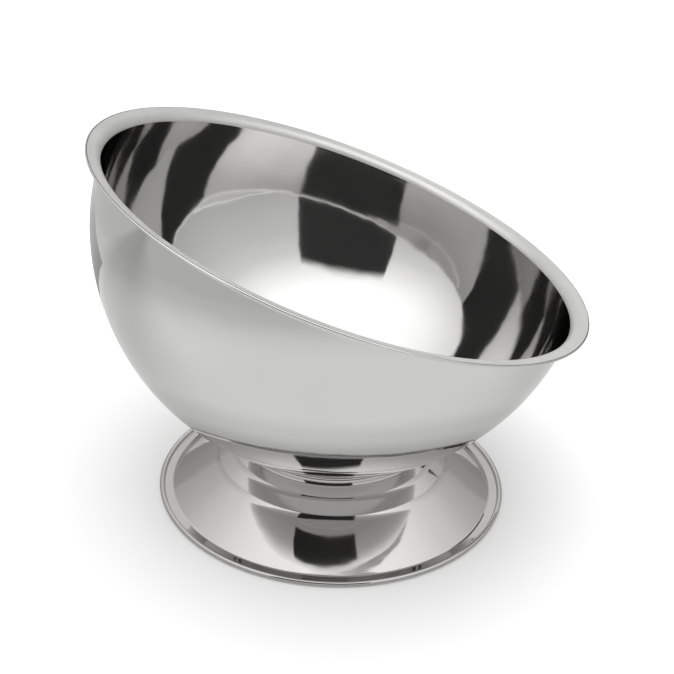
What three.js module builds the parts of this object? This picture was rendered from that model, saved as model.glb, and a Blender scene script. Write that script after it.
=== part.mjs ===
// Pedicure foot bath: a polished stainless steel bowl, fixed at a tilt on a spun trumpet foot.
// Millimetres, +Z up. The origin is on the floor, on the axis of the foot; the bowl's low side is +X.
import * as THREE from 'three';

// ---------------------------------------------------------------- driving dimensions
const rimDiameter = 400; // across the outer edge of the bowl's lip
const bowlRadius = 188.5; // outside of the bowl's spherical wall
const bowlTilt = 18; // degrees, low towards +X
const bowlCentreHeight = 226; // centre of the bowl's sphere above the floor
const footRadius = 145.8; // outside of the foot's rolled edge
const sheet = 0.9; // stainless steel sheet of bowl and foot
const gap = 0.3; // left between pieces that touch

// Bowl lip: the wall turns outwards into a slightly rising flange with its edge folded under.
const lipStart = 3.2; // straight wall above the sphere's equator
const lipBend = 7; // bend radius on the water side
const lipRise = 8; // degrees by which the flange rises outwards
const hem = 2 * sheet; // thickness where the edge is folded under
const hemDepth = 5.4; // how far the fold reaches in from the edge

// Foot: rolled bead, flat ring, a cone in three tiers up to the neck, and a dished seat under the bowl.
const footLift = 0.8; // the steel stays this far above the floor
const beadRadius = 2.1;
const ringOuter = 141.2;
const ringHeight = 1.9;
const coneFoot = 135.4; // radius where the cone starts to rise from the flat ring
const coneBend = 3; // radius of the hollow between ring and cone
const coneSlope = 33.4; // degrees
// Each tier of the cone hollows out towards its top: slope in degrees and radius at the top, bend up to it.
const tiers = [
  { topSlope: 43, topRadius: 94.8, bend: 35 },
  { topSlope: 45, topRadius: 82.9, bend: 24 },
  { topSlope: 90, topRadius: 73.5, bend: 6 },
];
const ridgeBend = 1.2; // rounding of the ridge between two tiers
const neckRadius = 73.5; // where the foot meets the bowl
const floorRingInner = 123;
const floorRingMiddle = 127;
const floorRingOuter = 133.2;

// Fixing under the bowl, on the foot's axis.
const gasketThickness = 1.5;
const gasketInner = 26;
const seatHole = 7;
const doublerRadius = 24;
const doublerThickness = 1.2;
const studRadius = 4; // M8
const studTail = 3; // stud beyond the nut
const clampRadius = 36;
const clampThickness = 2;
const washerRadius = 8;
const washerThickness = 1.6;
const springRadius = 7.4;
const springThickness = 2;
const nutAcrossFlats = 13;
const nutHeight = 6.5;

const ringSegments = 60;
const smallSegments = 32;

// ---------------------------------------------------------------- materials
const steel = (roughness) => new THREE.MeshStandardMaterial({ color: 0xc9c9c8, roughness, metalness: 1 });
const polished = steel(0.05);
const satin = steel(0.3);
const zincPlated = new THREE.MeshStandardMaterial({ color: 0xb4b6b8, roughness: 0.35, metalness: 1 });
const rubber = new THREE.MeshStandardMaterial({ color: 0x1b1b1c, roughness: 0.8, metalness: 0 });

// ---------------------------------------------------------------- outline helpers
const rad = THREE.MathUtils.degToRad;
const deg = THREE.MathUtils.radToDeg;

// Points on an arc in the (radius, height) half-plane, ends included.
function arc(centreR, centreZ, radius, fromDeg, toDeg, steps) {
  const points = [];
  for (let i = 0; i <= steps; i += 1) {
    const a = rad(fromDeg + ((toDeg - fromDeg) * i) / steps);
    points.push(new THREE.Vector2(centreR + radius * Math.cos(a), centreZ + radius * Math.sin(a)));
  }
  return points;
}

const at = (r, z) => new THREE.Vector2(r, z);

// A closed outline turned into a ring or shell about the +Z axis.
function lathe(outline, segments) {
  const closed = [...outline, outline[0].clone()];
  return new THREE.LatheGeometry(closed, segments).rotateX(Math.PI / 2);
}

// A solid that meets the axis at both ends of its outline.
function turned(outline, segments) {
  return new THREE.LatheGeometry(outline, segments).rotateX(Math.PI / 2);
}

function extruded(shape, height, bottom, curveSegments) {
  const geometry = new THREE.ExtrudeGeometry(shape, { depth: height, bevelEnabled: false, curveSegments });
  return geometry.translate(0, 0, bottom);
}

function piece(name, geometry, material) {
  const mesh = new THREE.Mesh(geometry, material);
  mesh.name = name;
  return mesh;
}

// Underside of the bowl, moved outwards by an offset: height above the floor at a radius.
const underBowl = (r, offset) => bowlCentreHeight - Math.sqrt((bowlRadius + offset) ** 2 - r ** 2);

// Dished line that follows the bowl's underside between two radii.
function dished(fromR, toR, offset, steps) {
  const points = [];
  for (let i = 0; i <= steps; i += 1) {
    const r = fromR + ((toR - fromR) * i) / steps;
    points.push(at(r, underBowl(r, offset)));
  }
  return points;
}

// ---------------------------------------------------------------- bowl
// Spherical wall up to the equator, a short straight wall, and the lip. Drawn about its own axis.
function bowlOutline() {
  const inside = bowlRadius - sheet;
  const rise = rad(lipRise);
  const along = at(Math.cos(rise), Math.sin(rise));
  const up = at(-Math.sin(rise), Math.cos(rise));
  const bendR = inside + lipBend;
  const turnEnd = 90 + lipRise;
  const edgeR = rimDiameter / 2 - hem / 2; // centre of the rounded edge
  const top = at(bendR, lipStart).addScaledVector(up, lipBend);
  const edge = at(edgeR, top.y - (hem / 2) * up.y + (edgeR - top.x + (hem / 2) * up.x) * Math.tan(rise));
  const under = edge.clone().addScaledVector(up, -hem / 2);
  const foldEnd = under.clone().addScaledVector(along, -hemDepth);
  return [
    ...arc(0, 0, bowlRadius, -90, 0, 10),
    ...arc(bendR, lipStart, lipBend - sheet, 180, turnEnd, 3),
    foldEnd.clone().addScaledVector(up, sheet),
    foldEnd,
    ...arc(edge.x, edge.y, hem / 2, lipRise - 90, lipRise + 90, 4),
    ...arc(bendR, lipStart, lipBend, turnEnd, 180, 4),
    ...arc(0, 0, inside, 0, -90, 10),
  ];
}

const bowl = new THREE.Group();
bowl.position.z = bowlCentreHeight;
bowl.rotation.y = rad(bowlTilt);
bowl.add(piece('bowl_shell', turned(bowlOutline(), ringSegments), polished));

// ---------------------------------------------------------------- foot
const seatOffset = gap + gasketThickness + gap; // face of the seat below the bowl
const cornerRadius = 2;

// Outward normal of a cone of this slope in degrees, in the (radius, height) half-plane.
const outward = (slope) => at(Math.sin(rad(slope)), Math.cos(rad(slope)));

// The hollow at the ring, then each tier: straight up at the cone's slope and hollowed out to its ridge.
function tierPoints(depth) {
  const normal = outward(coneSlope);
  const hollow = at(coneFoot, ringHeight + coneBend);
  const points = arc(hollow.x, hollow.y, coneBend + depth, -90, -90 - coneSlope, 2);
  let start = hollow.addScaledVector(normal, -coneBend);
  for (const { topSlope, topRadius, bend } of tiers) {
    const top = outward(topSlope);
    const centre = at(topRadius + bend * top.x, 0);
    const footR = centre.x - bend * normal.x;
    centre.y = start.y + (start.x - footR) * Math.tan(rad(coneSlope)) + bend * normal.y;
    points.push(...arc(centre.x, centre.y, bend + depth, -90 - coneSlope, -90 - topSlope, 2));
    const ridge = centre.clone().addScaledVector(top, -bend - ridgeBend);
    if (topSlope < 90) {
      points.push(...arc(ridge.x, ridge.y, ridgeBend - depth, 90 - topSlope, 90 - coneSlope, 1));
    }
    start = ridge.addScaledVector(normal, ridgeBend);
  }
  return points;
}

// One face of the foot's sheet, from the curl of the bead to the hole in the seat.
// depth is 0 for the face that shows and the sheet's thickness for the hidden one.
function footLine(depth) {
  const cornerR = neckRadius - cornerRadius;
  const corner = at(cornerR, underBowl(cornerR, seatOffset + cornerRadius));
  const seatShare = (bowlRadius + seatOffset) / (bowlRadius + seatOffset + cornerRadius);
  const seatTurn = deg(Math.asin((cornerR * seatShare) / (bowlRadius + seatOffset)));
  return [
    ...arc(footRadius - beadRadius, footLift + beadRadius, beadRadius - depth, -180, 140, 6),
    at(ringOuter, ringHeight - depth),
    ...tierPoints(depth),
    ...arc(corner.x, corner.y, cornerRadius - depth, 0, 90 + seatTurn, 2),
    ...dished(cornerR * seatShare, seatHole, seatOffset + depth, 3).slice(1),
  ];
}

const foot = piece('trumpet_foot', lathe([...footLine(0), ...footLine(sheet).reverse()], ringSegments), polished);

// Height of the cone's hidden face above the floor, less the gap, at a radius in the lowest tier.
function underCone(r) {
  const hollow = at(coneFoot, ringHeight + coneBend);
  const start = hollow.addScaledVector(outward(coneSlope), -coneBend);
  return start.y + (start.x - r) * Math.tan(rad(coneSlope)) - (sheet + gap) / Math.cos(rad(coneSlope));
}

// Non-slip ring held in the hollow under the foot of the cone. It alone touches the floor.
const floorRing = piece(
  'floor_ring',
  lathe(
    [
      at(floorRingInner, 0),
      at(floorRingOuter, 0),
      at(floorRingOuter, underCone(floorRingOuter)),
      at(floorRingMiddle, underCone(floorRingMiddle)),
      at(floorRingInner, underCone(floorRingMiddle)),
    ],
    ringSegments,
  ),
  rubber,
);

// ---------------------------------------------------------------- fixing between bowl and foot
// Everything here is turned about the foot's axis and stacked down from the bowl's lowest point.
function shell(innerR, outerR, topOffset, thickness, steps, segments) {
  const face = dished(innerR, outerR, topOffset + thickness, steps);
  const back = dished(outerR, innerR, topOffset, steps);
  return lathe([...face, ...back], segments);
}

const gasket = piece(
  'seat_gasket',
  shell(gasketInner, neckRadius - cornerRadius, gap, gasketThickness, 3, ringSegments),
  rubber,
);

const doubler = piece(
  'stud_doubler',
  shell(studRadius + gap, doublerRadius, gap, doublerThickness, 2, smallSegments),
  satin,
);

const clampOffset = seatOffset + sheet + gap;
const clampPlate = piece(
  'clamp_plate',
  shell(studRadius + gap, clampRadius, clampOffset, clampThickness, 3, smallSegments),
  zincPlated,
);

const bowlBottom = bowlCentreHeight - bowlRadius;
const washerTop = bowlBottom - clampOffset - clampThickness - gap;
const flatWasher = piece('flat_washer', washerRing(washerRadius, washerTop, washerThickness), zincPlated);

const springTop = washerTop - washerThickness - gap;
const springWasher = piece('spring_washer', splitRing(springRadius, springTop, springThickness), zincPlated);

const nutTop = springTop - springThickness - gap;
const nut = piece('hex_nut', hexNut(nutTop), zincPlated);

const studTop = bowlBottom - gap;
const stud = piece(
  'weld_stud',
  turned(
    [
      at(0, nutTop - nutHeight - studTail),
      at(studRadius - 0.8, nutTop - nutHeight - studTail),
      at(studRadius, nutTop - nutHeight - studTail + 0.8),
      at(studRadius, studTop),
      at(0, studTop),
    ],
    smallSegments,
  ),
  zincPlated,
);

function washerRing(outerRadius, top, thickness) {
  const bore = studRadius + gap;
  return lathe(
    [at(bore, top - thickness), at(outerRadius, top - thickness), at(outerRadius, top), at(bore, top)],
    smallSegments,
  );
}

// A ring with a narrow slit.
function splitRing(outerRadius, top, thickness) {
  const slit = rad(5);
  const shape = new THREE.Shape();
  shape.absarc(0, 0, outerRadius, slit, 2 * Math.PI - slit, false);
  shape.absarc(0, 0, studRadius + gap, 2 * Math.PI - slit, slit, true);
  shape.closePath();
  return extruded(shape, thickness, top - thickness, 14);
}

function hexNut(top) {
  const corner = nutAcrossFlats / Math.sqrt(3);
  const shape = new THREE.Shape();
  for (let i = 0; i < 6; i += 1) {
    const a = rad(60 * i);
    const x = corner * Math.cos(a);
    const y = corner * Math.sin(a);
    if (i === 0) shape.moveTo(x, y);
    else shape.lineTo(x, y);
  }
  shape.closePath();
  const bore = new THREE.Path();
  bore.absarc(0, 0, studRadius + gap, 0, 2 * Math.PI, true);
  shape.holes.push(bore);
  return extruded(shape, nutHeight, top - nutHeight, 12);
}

// ---------------------------------------------------------------- the whole object
const bath = new THREE.Group();
bath.add(bowl, foot, floorRing, gasket, doubler, stud, clampPlate, flatWasher, springWasher, nut);

export default bath;
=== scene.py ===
import math

import bpy
from mathutils import Matrix, Vector


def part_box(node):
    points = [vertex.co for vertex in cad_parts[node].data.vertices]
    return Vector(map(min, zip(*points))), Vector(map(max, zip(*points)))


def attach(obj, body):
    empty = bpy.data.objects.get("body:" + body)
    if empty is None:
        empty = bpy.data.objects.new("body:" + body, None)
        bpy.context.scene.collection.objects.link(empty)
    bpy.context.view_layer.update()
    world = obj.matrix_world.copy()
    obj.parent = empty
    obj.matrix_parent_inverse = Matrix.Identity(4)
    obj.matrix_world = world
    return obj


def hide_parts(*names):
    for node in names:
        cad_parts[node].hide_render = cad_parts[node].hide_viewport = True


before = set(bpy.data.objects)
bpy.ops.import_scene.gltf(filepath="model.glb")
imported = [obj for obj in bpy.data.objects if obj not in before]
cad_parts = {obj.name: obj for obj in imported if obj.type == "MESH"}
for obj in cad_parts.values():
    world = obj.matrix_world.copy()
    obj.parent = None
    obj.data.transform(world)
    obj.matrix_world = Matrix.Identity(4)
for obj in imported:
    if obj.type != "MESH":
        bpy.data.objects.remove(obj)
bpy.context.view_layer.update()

# ---------------------------------------------------------------- sizes, the same as the CAD's
SHEET = 0.0009
BOWL_TILT = math.radians(18)
BOWL_RADIUS = 0.1885  # outside of the spherical wall
LIP_START = 0.0032  # height of the straight wall above the sphere's equator
LIP_BEND = 0.007  # bend radius on the water side
LIP_RISE = math.radians(8)
HEM = 2 * SHEET  # thickness where the lip's edge is folded under
HEM_DEPTH = 0.0054  # how far the fold reaches in from the edge

BEAD_RADIUS = 0.0021  # rolled edge of the foot
BEAD_CURL = 320  # degrees
FOOT_LIFT = 0.0008  # height of the foot's steel above the floor
RING_OUTER = 0.1412
RING_HEIGHT = 0.0019
CONE_FOOT = Vector((0.1354, RING_HEIGHT))  # where the cone starts to rise from the flat ring
CONE_BEND = 0.003  # hollow between ring and cone
CONE_SLOPE = 33.4  # degrees
# Tiers of the cone, from the ring up: slope in degrees and radius at the top, bend up to it.
TIERS = ((43, 0.0948, 0.035), (45, 0.0829, 0.024), (90, 0.0735, 0.006))
RIDGE_BEND = 0.0012  # rounding of the ridge between two tiers
NECK_CORNER = 0.002  # round corner between neck and seat
SEAT_OFFSET = 0.0021  # face of the seat below the bowl
SEAT_HOLE = 0.007

# How finely the two turned meshes are divided.
LATHE_STEPS = 360  # around the axis
WALL_STEPS = 90  # along the bowl's wall
BEND_STEPS = 16  # in the bend of the lip
STRAIGHT_STEPS = 4
HEM_STEPS = 6
LIP_STEPS = 8  # along the top of the lip
EDGE_STEPS = 12  # in its rounded edge
RING_STEPS = 3
OUTER_STEPS = 8  # in a bend of the foot's outer face
INNER_STEPS = 3  # in a bend of its inner face

bowl_low, bowl_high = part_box("bowl_shell")
foot_low, foot_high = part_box("trumpet_foot")
rim_radius = (bowl_high.y - bowl_low.y) / 2
foot_radius = (foot_high.y - foot_low.y) / 2
bowl_centre = bowl_low.z + BOWL_RADIUS


# ---------------------------------------------------------------- mesh helpers
def arc(centre, radius, start, end, steps):
    """Points on an arc in the (radius, height) half-plane, from one angle to another, in degrees."""
    points = []
    for i in range(steps + 1):
        a = math.radians(start + (end - start) * i / steps)
        x = centre[0] + radius * math.cos(a)
        y = centre[1] + radius * math.sin(a)
        points.append(Vector((x, y)))
    return points


def line(start, end, steps):
    """Points between two points, closer together near both ends, without the first and the last."""
    inner = []
    for i in range(1, steps):
        share = (1 - math.cos(math.pi * i / steps)) / 2
        inner.append(start.lerp(end, share))
    return inner


def lathe(name, outline, steps=LATHE_STEPS):
    """A closed surface turned about the local Z axis. A point on the axis becomes a single vertex."""
    on_axis = [point[0] < 1e-7 for point in outline]
    closed = not (on_axis[0] and on_axis[-1])
    rings, verts, faces = [], [], []
    for (radius, height), pole in zip(outline, on_axis):
        first = len(verts)
        if pole:
            verts.append((0, 0, height))
            rings.append([first] * steps)
            continue
        for i in range(steps):
            a = 2 * math.pi * i / steps
            verts.append((radius * math.cos(a), radius * math.sin(a), height))
        rings.append(list(range(first, first + steps)))
    pairs = list(zip(rings, rings[1:] + rings[:1]))
    for lower, upper in pairs if closed else pairs[:-1]:
        for i in range(steps):
            j = (i + 1) % steps
            corners = [lower[i], lower[j], upper[j], upper[i]]
            faces.append(list(dict.fromkeys(corners)))
    return mesh_object(name, verts, faces)


def mesh_object(name, verts, faces):
    mesh = bpy.data.meshes.new(name)
    mesh.from_pydata(verts, [], faces)
    mesh.shade_smooth()
    shown = bpy.data.objects.new(name, mesh)
    bpy.context.scene.collection.objects.link(shown)
    return shown


# ---------------------------------------------------------------- bowl
def bowl_outline():
    """Sphere outside, underside of the lip, folded hem, rounded edge, top of the lip, sphere inside."""
    inside = BOWL_RADIUS - SHEET
    rise = math.degrees(LIP_RISE)
    along = Vector((math.cos(LIP_RISE), math.sin(LIP_RISE)))
    up = Vector((-math.sin(LIP_RISE), math.cos(LIP_RISE)))
    bend = Vector((inside + LIP_BEND, LIP_START))
    top = bend + up * LIP_BEND
    half = HEM / 2
    edge_r = rim_radius - half
    edge_rise = (edge_r - top.x + half * up.x) * math.tan(LIP_RISE)
    edge = Vector((edge_r, top.y - half * up.y + edge_rise))
    under = edge - up * half
    fold_end = under - along * HEM_DEPTH
    tuck = fold_end + up * SHEET
    outline = arc((0, 0), BOWL_RADIUS, -90, 0, WALL_STEPS)
    outline += line(outline[-1], Vector((BOWL_RADIUS, LIP_START)), STRAIGHT_STEPS)
    outline += arc(bend, LIP_BEND - SHEET, 180, 90 + rise, BEND_STEPS)
    outline += line(outline[-1], tuck, STRAIGHT_STEPS)
    outline += [tuck, tuck.lerp(fold_end, 0.25), tuck.lerp(fold_end, 0.75), fold_end]
    outline += line(fold_end, under, HEM_STEPS)
    outline += arc(edge, half, rise - 90, rise + 90, EDGE_STEPS)
    outline += line(outline[-1], top, LIP_STEPS)
    outline += arc(bend, LIP_BEND, 90 + rise, 180, BEND_STEPS)
    outline += line(outline[-1], Vector((inside, 0)), STRAIGHT_STEPS)
    outline += arc((0, 0), inside, 0, -90, WALL_STEPS)
    return outline


# ---------------------------------------------------------------- foot
def under_bowl(radius, offset):
    """Height of the bowl's underside, moved outwards by an offset, at a radius from the axis."""
    return bowl_centre - math.sqrt((BOWL_RADIUS + offset) ** 2 - radius**2)


def outward(slope):
    """Outward normal of a cone of this slope in degrees, in the (radius, height) half-plane."""
    return Vector((math.sin(math.radians(slope)), math.cos(math.radians(slope))))


def tier_bends(depth, fine):
    """The hollow at the ring, then each tier: straight up, and hollowed out to a rounded ridge."""
    hollow = CONE_FOOT + Vector((0, CONE_BEND))
    bends = [arc(hollow, CONE_BEND + depth, -90, -90 - CONE_SLOPE, fine)]
    start = hollow - outward(CONE_SLOPE) * CONE_BEND
    for top_slope, top_radius, bend in TIERS:
        centre = Vector((top_radius + bend * outward(top_slope).x, 0))
        foot_r = centre.x - bend * outward(CONE_SLOPE).x
        centre.y = start.y + (start.x - foot_r) * math.tan(math.radians(CONE_SLOPE))
        centre.y += bend * outward(CONE_SLOPE).y
        bends.append(arc(centre, bend + depth, -90 - CONE_SLOPE, -90 - top_slope, 2 * fine))
        ridge = centre - outward(top_slope) * (bend + RIDGE_BEND)
        if top_slope < 90:
            bends.append(arc(ridge, RIDGE_BEND - depth, 90 - top_slope, 90 - CONE_SLOPE, fine))
        start = ridge + outward(CONE_SLOPE) * RIDGE_BEND
    return bends


def foot_line(depth, fine):
    """One face of the foot's sheet, from the curl of the bead to the hole in the seat."""
    corner_r = TIERS[-1][1] - NECK_CORNER
    corner = Vector((corner_r, under_bowl(corner_r, SEAT_OFFSET + NECK_CORNER)))
    seat_share = (BOWL_RADIUS + SEAT_OFFSET) / (BOWL_RADIUS + SEAT_OFFSET + NECK_CORNER)
    seat_r = corner_r * seat_share
    seat_turn = math.degrees(math.asin(seat_r / (BOWL_RADIUS + SEAT_OFFSET)))
    bead = Vector((foot_radius - BEAD_RADIUS, FOOT_LIFT + BEAD_RADIUS))

    points = arc(bead, BEAD_RADIUS - depth, -180, BEAD_CURL - 180, 4 * fine)
    ring_start = Vector((RING_OUTER, RING_HEIGHT - depth))
    points += line(points[-1], ring_start, RING_STEPS) + [ring_start]
    bends = tier_bends(depth, fine)
    bends.append(arc(corner, NECK_CORNER - depth, 0, 90 + seat_turn, fine))
    for bend in bends:
        points += line(points[-1], bend[0], fine) + bend
    for i in range(1, 2 * fine + 1):
        radius = seat_r + (SEAT_HOLE - seat_r) * i / (2 * fine)
        points.append(Vector((radius, under_bowl(radius, SEAT_OFFSET + depth))))
    return points


bowl = lathe("bowl_spun", bowl_outline())
bowl.data.transform(Matrix.Translation((0, 0, bowl_centre)) @ Matrix.Rotation(BOWL_TILT, 4, "Y"))
foot = lathe("foot_spun", foot_line(0, OUTER_STEPS) + foot_line(SHEET, INNER_STEPS)[::-1])


# ---------------------------------------------------------------- materials
SATIN_START = LIP_START + 0.0001  # height above the sphere's equator, along the bowl's axis
SATIN_END = rim_radius - 0.0012  # the rounded edge beyond is polished
SATIN_METAL = 0.4
SATIN_GRAIN = 0.34, 0.46
MIRROR_GLOSS = 0.035, 0.085
MIRROR_BUMPS = 0.001, 0.00025, 0.000006  # depths of dents, ripples and the rings of the spinning


class Shader:
    """A material on the Principled shader, with short calls that add and link nodes."""

    def __init__(self, name, **constants):
        self.material = bpy.data.materials.new(name)
        self.material.use_nodes = True
        self.tree = self.material.node_tree
        self.surface = self.tree.nodes["Principled BSDF"]
        for socket, value in constants.items():
            self.surface.inputs[socket.replace("_", " ")].default_value = value
        self.place = self.add("ShaderNodeTexCoord").outputs["Object"]

    def add(self, kind, settings=(), **inputs):
        node = self.tree.nodes.new(kind)
        for key, value in dict(settings).items():
            setattr(node, key, value)
        for socket, value in inputs.items():
            self.plug(node.inputs[socket.replace("_", " ")], value)
        return node

    def plug(self, socket, value):
        if isinstance(value, bpy.types.NodeSocket):
            self.tree.links.new(value, socket)
        else:
            socket.default_value = value

    def centre(self, height, tilt):
        """Puts the patterns about an axis through a height above the floor, tilted about Y."""
        node = self.add("ShaderNodeMapping", {"vector_type": "TEXTURE"}, Vector=self.place)
        node.inputs["Location"].default_value = (0, 0, height)
        node.inputs["Rotation"].default_value = (0, tilt, 0)
        self.place = node.outputs[0]

    def noise(self, scale, detail, where=None):
        node = self.add("ShaderNodeTexNoise", Vector=where or self.place, Scale=scale, Detail=detail)
        return node.outputs["Fac"]

    def height(self):
        """Distance along the patterns' axis."""
        return self.add("ShaderNodeSeparateXYZ", Vector=self.place).outputs["Z"]

    def radius(self):
        """Distance from the patterns' axis."""
        part = self.add("ShaderNodeSeparateXYZ", Vector=self.place).outputs
        flat = self.add("ShaderNodeCombineXYZ", X=part["X"], Y=part["Y"]).outputs[0]
        length = self.add("ShaderNodeVectorMath", {"operation": "LENGTH"})
        self.plug(length.inputs[0], flat)
        return length.outputs["Value"]

    def spun(self, scale):
        """Rings about the patterns' axis: a noise of the radius and the height only."""
        rings = self.add("ShaderNodeCombineXYZ", X=self.radius(), Z=self.height()).outputs[0]
        return self.noise(scale, 1.0, where=rings)

    def step_up(self, value, place, below, above, width=0.0004):
        """One value below a place, another above it, with a soft change of some width."""
        share = self.spread(value, 0, 1, place - width / 2, place + width / 2)
        node = self.add("ShaderNodeMix", {"data_type": "FLOAT"})
        self.plug(node.inputs["Factor"], share)
        self.plug(node.inputs["A"], below)
        self.plug(node.inputs["B"], above)
        return node.outputs["Result"]

    def spread(self, value, low, high, start=0.3, end=0.7):
        """A value between start and end, by default a noise's, carried over to low and high."""
        node = self.add("ShaderNodeMapRange", Value=value)
        limits = {"From Min": start, "From Max": end, "To Min": low, "To Max": high}
        for socket, number in limits.items():
            node.inputs[socket].default_value = number
        return node.outputs["Result"]

    def blend(self, share, first, second):
        node = self.add("ShaderNodeMix", {"data_type": "RGBA"})
        self.plug(node.inputs["Factor"], share)
        self.plug(node.inputs["A"], (*first, 1))
        self.plug(node.inputs["B"], (*second, 1))
        return node.outputs["Result"]

    def bump(self, *layers):
        """Layers of (height, depth in metres), one over the other."""
        normal = None
        for height, depth in layers:
            node = self.add("ShaderNodeBump", Height=height, Distance=depth)
            if normal:
                self.plug(node.inputs["Normal"], normal)
            normal = node.outputs["Normal"]
        self.plug(self.surface.inputs["Normal"], normal)

    def colour(self, value):
        self.plug(self.surface.inputs["Base Color"], value)

    def roughness(self, value):
        self.plug(self.surface.inputs["Roughness"], value)


def mirror_steel(name, axis_at, axis_tilt, dull, clean, satin_lip=False):
    """Spun stainless steel polished to a mirror, with faint smears and traces of the spinning.

    With a satin lip, the lip up to its rounded edge is grained: rougher, and partly scattering.
    """
    steel = Shader(name, Metallic=1.0)
    steel.centre(axis_at, axis_tilt)
    steel.colour(steel.blend(steel.noise(9, 4), dull, clean))
    gloss = steel.spread(steel.noise(14, 5), *MIRROR_GLOSS)
    if satin_lip:
        height, radius = steel.height(), steel.radius()
        grain = steel.spread(steel.noise(60, 4), *SATIN_GRAIN)
        lip_gloss = steel.step_up(radius, SATIN_END, grain, gloss)
        lip_metal = steel.step_up(radius, SATIN_END, SATIN_METAL, 1.0)
        metal = steel.step_up(height, SATIN_START, 1.0, lip_metal)
        gloss = steel.step_up(height, SATIN_START, gloss, lip_gloss)
        steel.plug(steel.surface.inputs["Metallic"], metal)
    steel.roughness(gloss)
    patterns = steel.noise(7, 1), steel.noise(24, 2), steel.spun(160)
    steel.bump(*zip(patterns, MIRROR_BUMPS))
    return steel.material


def zinc_plate():
    zinc = Shader("zinc_plate", Metallic=1.0)
    zinc.colour(zinc.blend(zinc.noise(180, 3), (0.50, 0.52, 0.55), (0.66, 0.66, 0.64)))
    zinc.roughness(zinc.spread(zinc.noise(420, 4), 0.28, 0.48))
    zinc.bump((zinc.noise(900, 3), 0.00003),)
    return zinc.material


def matt_rubber():
    rubber = Shader("matt_rubber", Specular_IOR_Level=0.35)
    rubber.colour(rubber.blend(rubber.noise(70, 5), (0.018, 0.018, 0.019), (0.045, 0.044, 0.043)))
    rubber.roughness(rubber.spread(rubber.noise(260, 3), 0.62, 0.85))
    rubber.bump((rubber.noise(1400, 3), 0.00006),)
    return rubber.material


BRIGHT_STEEL = (0.590, 0.587, 0.581), (0.690, 0.687, 0.680)
WARM_STEEL = (0.455, 0.447, 0.435), (0.515, 0.506, 0.495)
BOWL_STEEL = mirror_steel("bowl_steel", bowl_centre, BOWL_TILT, *BRIGHT_STEEL, satin_lip=True)
FOOT_STEEL = mirror_steel("foot_steel", 0, 0, *WARM_STEEL)
ZINC, RUBBER = zinc_plate(), matt_rubber()


def finish_piece(piece, material, replaced):
    piece.data.materials.append(material)
    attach(piece, "root")
    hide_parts(replaced)


finish_piece(bowl, BOWL_STEEL, "bowl_shell")
finish_piece(foot, FOOT_STEEL, "trumpet_foot")
for node, material in {
    "floor_ring": RUBBER,
    "seat_gasket": RUBBER,
    "stud_doubler": ZINC,
    "weld_stud": ZINC,
    "clamp_plate": ZINC,
    "flat_washer": ZINC,
    "spring_washer": ZINC,
    "hex_nut": ZINC,
}.items():
    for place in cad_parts[node].material_slots:
        place.material = material

# ---------------------------------------------------------------- camera
CAMERA_PITCH = math.radians(26.3)
CAMERA_ROLL = math.radians(2.48)
CAMERA_DISTANCE = 4.383 * BOWL_RADIUS
CAMERA_SHIFT = -0.0018 * BOWL_RADIUS  # sideways
CAMERA_DROP = 0.2536 * BOWL_RADIUS
CAMERA_FOCUS = 56.4036  # millimetres, on a sensor of this width
SENSOR_WIDTH = 36

forward = Vector((0, math.cos(CAMERA_PITCH), -math.sin(CAMERA_PITCH)))
upward = Vector((0, math.sin(CAMERA_PITCH), math.cos(CAMERA_PITCH)))
across = Vector((1, 0, 0))
side = math.cos(CAMERA_ROLL) * across + math.sin(CAMERA_ROLL) * upward
top = math.cos(CAMERA_ROLL) * upward - math.sin(CAMERA_ROLL) * across
spot = Vector((0, 0, BOWL_RADIUS)) - forward * CAMERA_DISTANCE
spot += across * CAMERA_SHIFT - upward * CAMERA_DROP

lens = bpy.data.cameras.new("camera")
lens.sensor_width = SENSOR_WIDTH
lens.lens = CAMERA_FOCUS
camera = bpy.data.objects.new("camera", lens)
camera.matrix_world = Matrix.Translation(spot) @ Matrix((side, top, -forward)).transposed().to_4x4()
bpy.context.scene.collection.objects.link(camera)
bpy.context.scene.camera = camera
bpy.context.scene.view_settings.view_transform = "Standard"


# ---------------------------------------------------------------- stage and light
def glow(name, build):
    """An emission material whose strength is linked by build(nodes, links, socket)."""
    material = bpy.data.materials.new(name)
    material.use_nodes = True
    nodes, links = material.node_tree.nodes, material.node_tree.links
    nodes.clear()
    emission = nodes.new("ShaderNodeEmission")
    output = nodes.new("ShaderNodeOutputMaterial")
    links.new(emission.outputs[0], output.inputs["Surface"])
    build(nodes, links, emission.inputs["Strength"])
    return material


def along_z(stops, lean=0.0):
    """Builds a strength that follows the local height, from stops of (height in metres, strength).

    With a lean the stops lie along sloping lines, lower by that share of the local X.
    """

    def build(nodes, links, socket):
        place = nodes.new("ShaderNodeTexCoord")
        part = nodes.new("ShaderNodeSeparateXYZ")
        level = nodes.new("ShaderNodeMath")
        level.operation = "MULTIPLY_ADD"
        level.inputs[1].default_value = lean
        links.new(place.outputs["Object"], part.inputs[0])
        links.new(part.outputs["X"], level.inputs[0])
        links.new(part.outputs["Z"], level.inputs[2])
        links.new(graded(nodes, links, level.outputs[0], stops), socket)

    return build


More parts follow.
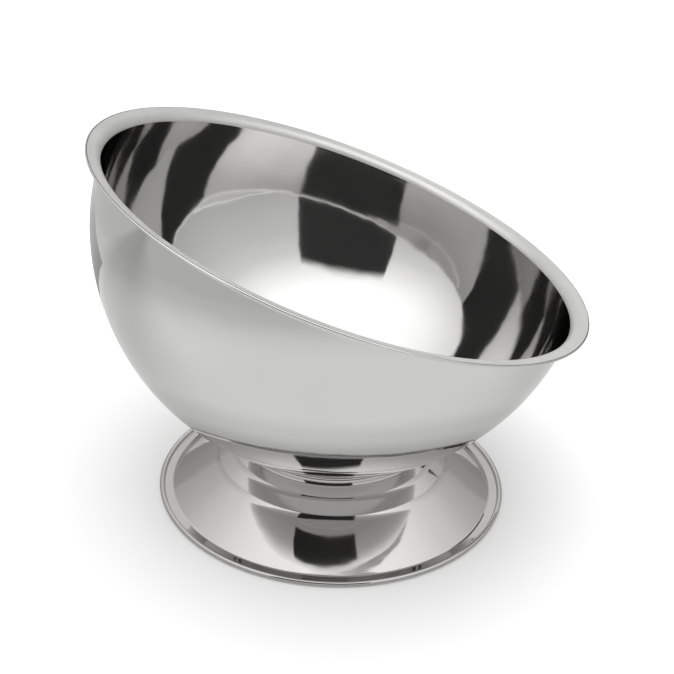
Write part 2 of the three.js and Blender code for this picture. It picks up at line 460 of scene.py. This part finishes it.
def graded(nodes, links, value, stops, interpolation="EASE"):
    """A strength that follows a value, from stops of (value, strength)."""
    low, high = stops[0][0], stops[-1][0]
    share = nodes.new("ShaderNodeMapRange")
    links.new(value, share.inputs["Value"])
    share.inputs["From Min"].default_value = low
    share.inputs["From Max"].default_value = high
    ramp = nodes.new("ShaderNodeValToRGB")
    ramp.color_ramp.interpolation = interpolation
    elements = ramp.color_ramp.elements
    while len(elements) < len(stops):
        elements.new(0.5)
    peak = max(strength for _, strength in stops)
    for element, (place, strength) in zip(elements, stops):
        element.position = (place - low) / (high - low)
        element.color = (strength / peak,) * 3 + (1,)
    scale = nodes.new("ShaderNodeMath")
    scale.operation = "MULTIPLY"
    scale.inputs[1].default_value = peak
    links.new(share.outputs[0], ramp.inputs[0])
    links.new(ramp.outputs[0], scale.inputs[0])
    return scale.outputs[0]


def card(name, corners, place, material):
    """A flat card that only reflections see."""
    sheet = mesh_object(name, corners, [tuple(range(len(corners)))])
    sheet.location = place
    sheet.data.materials.append(material)
    for ray in ("camera", "diffuse", "transmission", "shadow", "volume_scatter"):
        setattr(sheet, "visible_" + ray, False)


def square(half):
    """Corners of a level square about the origin."""
    return [(x * half, y * half, 0) for x, y in ((-1, -1), (1, -1), (1, 1), (-1, 1))]


# The stage is measured in bowl radii: how far back the cards stand, and half the floor card's width.
R = BOWL_RADIUS
FRONT_CARD_AT = -8 * R
BACK_CARD_AT = 1.2 * R
SIDE_CARDS_AT = 1.6 * R
FLOOR_CARD_HALF = 30 * R
FLOOR_CARD_LIFT = 0.0003


def upright(*corners):
    """Corners (x, z) of an upright card, in bowl radii."""
    return [(x * R, 0, z * R) for x, z in corners]


# Dark up to a soft, leaning upper end, in front of the bath.
front_dark = [(0, 0.04), (7.6 * R, 0.04), (9.2 * R, 1.3), (9.3 * R, 1.3)]
front_edge = upright((-5.05, 1.3), (3.5, 1.3), (4.25, 8.5), (-5.05, 10.3))
front_glow = glow("dark_front", along_z(front_dark, 0.2))
card("front_card", front_edge, (0, FRONT_CARD_AT, 0), front_glow)

# Dark, just behind the bath, with an uneven upper edge.
back_dark = [(0, 0.05), (2.9 * R, 0.05), (4.6 * R, 0.12)]
back_edge = upright(
    (-1.25, 1.45),
    (2.1, 1.12),
    (2.3, 2.0),
    (2.75, 2.7),
    (3.1, 3.3),
    (2, 3.1),
    (1, 3.05),
    (0.4, 3.3),
    (-1.2, 4.6),
)
card("back_card", back_edge, (0, BACK_CARD_AT, 0), glow("dark_back", along_z(back_dark)))

# Grey and low, behind the bath on both sides.
side_grey = [(0, 0.38), (0.5 * R, 0.5), (1.25 * R, 0.84)]
for name, side in (("left_card", -1), ("right_card", 1)):
    edge = upright((1.3 * side, 0), (3.2 * side, 0), (1.8 * side, 1.25), (1.3 * side, 1.25))
    card(name, edge, (0, SIDE_CARDS_AT, 0), glow(name, along_z(side_grey)))


# Strength of the floor's painted reflection by distance from the origin, with painted shade under the
# bath, and its share by local Y.
FLOOR_AROUND = [
    (0.76 * R, 0.6),
    (R, 0.8),
    (1.3 * R, 0.93),
    (2.3 * R, 0.93),
    (4.5 * R, 0.68),
    (6 * R, 0.62),
]
FLOOR_BACK = [(-1.2 * R, 1), (0.2 * R, 0.74), (R, 0.78), (2.2 * R, 1.05)]


def floor_glow_and_painted_shade(nodes, links, socket):
    """Painted shade under the bath, then bright, and darker again far away and beside the bath."""
    place = nodes.new("ShaderNodeTexCoord")
    length = nodes.new("ShaderNodeVectorMath")
    length.operation = "LENGTH"
    part = nodes.new("ShaderNodeSeparateXYZ")
    product = nodes.new("ShaderNodeMath")
    product.operation = "MULTIPLY"
    links.new(place.outputs["Object"], length.inputs[0])
    links.new(place.outputs["Object"], part.inputs[0])
    links.new(graded(nodes, links, length.outputs["Value"], FLOOR_AROUND), product.inputs[0])
    links.new(graded(nodes, links, part.outputs["Y"], FLOOR_BACK), product.inputs[1])
    links.new(product.outputs[0], socket)


# The floor card glows with a painted reflection of the floor, with painted shade under the bath.
floor_glow_painted_shade = glow("floor_glow_painted_shade", floor_glow_and_painted_shade)
card("floor_card", square(FLOOR_CARD_HALF), (0, 0, FLOOR_CARD_LIFT), floor_glow_painted_shade)

FLOOR_HALF = 8
FLOOR_GREY = 0.88, 0.88, 0.88, 1
floor = mesh_object("floor", square(FLOOR_HALF), [(0, 1, 2, 3)])
paint = Shader("floor_paint", Roughness=1.0, Specular_IOR_Level=0.0, Base_Color=FLOOR_GREY)
floor.data.materials.append(paint.material)

# Strength of the sky by the Z of the direction, in front of the bath and behind it.
FRONT_SKY = [
    (-0.2, 0.57),
    (0, 0.6),
    (0.17, 0.68),
    (0.34, 0.76),
    (0.5, 0.92),
    (0.64, 1.3),
    (0.77, 1.65),
    (1, 1.8),
]
BACK_SKY = [
    (-0.2, 0.45),
    (0, 0.54),
    (0.17, 0.6),
    (0.34, 0.7),
    (0.5, 0.86),
    (0.64, 1.1),
    (0.77, 1.25),
    (1, 1.6),
]
FRONT_ENDS, BACK_STARTS = -0.4, 0.2  # Y of the direction

world = bpy.data.worlds.new("studio")
bpy.context.scene.world = world
world.use_nodes = True
nodes, links = world.node_tree.nodes, world.node_tree.links
background = nodes["Background"]
direction = nodes.new("ShaderNodeTexCoord")
part = nodes.new("ShaderNodeSeparateXYZ")
share = nodes.new("ShaderNodeMapRange")
both = nodes.new("ShaderNodeMix")
share.inputs["From Min"].default_value = FRONT_ENDS
share.inputs["From Max"].default_value = BACK_STARTS
background.inputs["Color"].default_value = (1, 1, 1, 1)
links.new(direction.outputs["Generated"], part.inputs[0])
links.new(part.outputs["Y"], share.inputs["Value"])
links.new(share.outputs[0], both.inputs["Factor"])
links.new(graded(nodes, links, part.outputs["Z"], FRONT_SKY, "LINEAR"), both.inputs["A"])
links.new(graded(nodes, links, part.outputs["Z"], BACK_SKY, "LINEAR"), both.inputs["B"])
links.new(both.outputs["Result"], background.inputs["Strength"])

LAMP_SIZE = 2.5
LAMP_WATTS = 24
LAMP_AT = 0, -0.3, 3
key = bpy.data.lights.new("soft_top", "AREA")
key.size = LAMP_SIZE
key.energy = LAMP_WATTS
lamp = bpy.data.objects.new("soft_top", key)
lamp.location = LAMP_AT
lamp.visible_glossy = False
bpy.context.scene.collection.objects.link(lamp)
